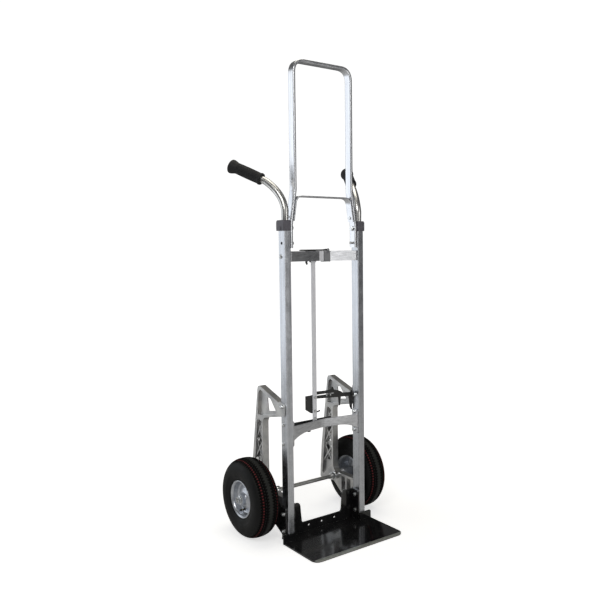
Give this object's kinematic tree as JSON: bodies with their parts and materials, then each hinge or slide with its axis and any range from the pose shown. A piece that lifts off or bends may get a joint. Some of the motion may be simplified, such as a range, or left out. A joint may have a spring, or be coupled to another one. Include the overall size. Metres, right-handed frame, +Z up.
{
  "type": "convertible hand truck",
  "caption": "Aluminium hand truck with rear pneumatic wheels on cast brackets, a steel toe plate, curved hand grips and a folding loop handle held by pull pins.",
  "frame": {"origin": "floor level on the underside of the toe plate, in the middle of its width and under the front faces of the rails", "axes": "+Z up along the rails, -Y towards the front where the toe plate points, +X to the right seen from the front"},
  "size_m": [0.541, 0.419, 1.503],
  "materials": {
    "mill_aluminium": "satin extruded",
    "bent_aluminium": "bright drawn",
    "cast_aluminium": "rough cast",
    "zinc_plate": "bright zinc plated",
    "axle_steel": "cold drawn",
    "black_enamel": "gloss black enamel",
    "black_steel": "semi-gloss black",
    "cap_plastic": "moulded grey",
    "grip_rubber": "matte moulded",
    "tyre_rubber": "treaded",
    "rim_paint": "silver paint on pressed steel"
  },
  "bodies": {
    "frame": {"rail_left": "mill_aluminium", "rail_cap_left": "cap_plastic", "grip_tube_left": "bent_aluminium", "grip_left": "grip_rubber", "wheel_bracket_left": "cast_aluminium", "axle_plate_left": "black_enamel", "axle_collar_left": "zinc_plate", "axle_nut_left": "zinc_plate", "crossbar_bolt_upper_left": "zinc_plate", "crossbar_bolt_lower_left_1": "zinc_plate", "crossbar_bolt_lower_left_2": "zinc_plate", "wheel_bracket_bolt_left": "zinc_plate", "axle_plate_bolt_left_1": "zinc_plate", "axle_plate_bolt_left_2": "zinc_plate", "loop_pivot_bolt_left": "zinc_plate", "rail_right": "mill_aluminium", "rail_cap_right": "cap_plastic", "grip_tube_right": "bent_aluminium", "grip_right": "grip_rubber", "wheel_bracket_right": "cast_aluminium", "axle_plate_right": "black_enamel", "axle_collar_right": "zinc_plate", "axle_nut_right": "zinc_plate", "crossbar_bolt_upper_right": "zinc_plate", "crossbar_bolt_lower_right_1": "zinc_plate", "crossbar_bolt_lower_right_2": "zinc_plate", "wheel_bracket_bolt_right": "zinc_plate", "axle_plate_bolt_right_1": "zinc_plate", "axle_plate_bolt_right_2": "zinc_plate", "loop_pivot_bolt_right": "zinc_plate", "upper_crossbar": "mill_aluminium", "lower_crossbar": "mill_aluminium", "toe_plate": "black_enamel", "rod_guide": "black_steel", "lever_pivot_pin": "zinc_plate", "latch_pivot_pin": "zinc_plate", "axle": "axle_steel", "lever_bracket": "axle_steel"},
    "loop": {"loop_handle": "bent_aluminium", "loop_brace": "bent_aluminium", "brace_rivet_left": "zinc_plate", "brace_rivet_right": "zinc_plate"},
    "loop_pin_left": {"loop_pin_left": "zinc_plate"},
    "loop_pin_right": {"loop_pin_right": "zinc_plate"},
    "wheel_left": {"tyre_left": "tyre_rubber", "wheel_rim_left": "rim_paint", "hub_bearing_left": "zinc_plate"},
    "wheel_right": {"tyre_right": "tyre_rubber", "wheel_rim_right": "rim_paint", "hub_bearing_right": "zinc_plate"},
    "rod": {"release_rod": "mill_aluminium", "latch_plate": "black_steel", "latch_plate_bolt": "zinc_plate", "rod_stop_bolt": "zinc_plate", "latch_link_pin": "zinc_plate", "lever_link_pin": "zinc_plate"},
    "latch": {"latch_arm": "black_steel"},
    "lever": {"hand_lever": "black_steel"}
  },
  "joints": [
    {"name": "wheel_left_spin", "type": "hinge", "parent": "frame", "child": "wheel_left", "pos_m": [-0.2224, 0.124, 0.127], "axis": [1, 0, 0], "continuous": true},
    {"name": "wheel_right_spin", "type": "hinge", "parent": "frame", "child": "wheel_right", "pos_m": [0.2224, 0.124, 0.127], "axis": [1, 0, 0], "continuous": true},
    {"name": "loop_fold", "type": "hinge", "parent": "frame", "child": "loop", "pos_m": [0, 0.0155, 0.988], "axis": [1, 0, 0], "range_deg": [0, 90]},
    {"name": "loop_pin_left_slide", "type": "slide", "parent": "loop", "child": "loop_pin_left", "axis": [-1, 0, 0], "range_m": [0, 0.0048]},
    {"name": "loop_pin_right_slide", "type": "slide", "parent": "loop", "child": "loop_pin_right", "axis": [1, 0, 0], "range_m": [0, 0.0048]},
    {"name": "hand_lever_lift", "type": "hinge", "parent": "frame", "child": "lever", "pos_m": [0.024, 0.0261, 0.9195], "axis": [0, 1, 0], "range_deg": [0, 14]},
    {"name": "release_rod_slide", "type": "slide", "parent": "frame", "child": "rod", "axis": [0, 0, 1], "range_m": [0, 0.01339]},
    {"name": "latch_arm_turn", "type": "hinge", "parent": "frame", "child": "latch", "pos_m": [0.146, 0.0356, 0.455], "axis": [0, 1, 0], "range_deg": [0, 4.4]}
  ],
  "couplings": [
    {"joint": "release_rod_slide", "follows": "hand_lever_lift", "m_per_rad": 0.054},
    {"joint": "latch_arm_turn", "follows": "hand_lever_lift", "ratio": 0.30682}
  ]
}
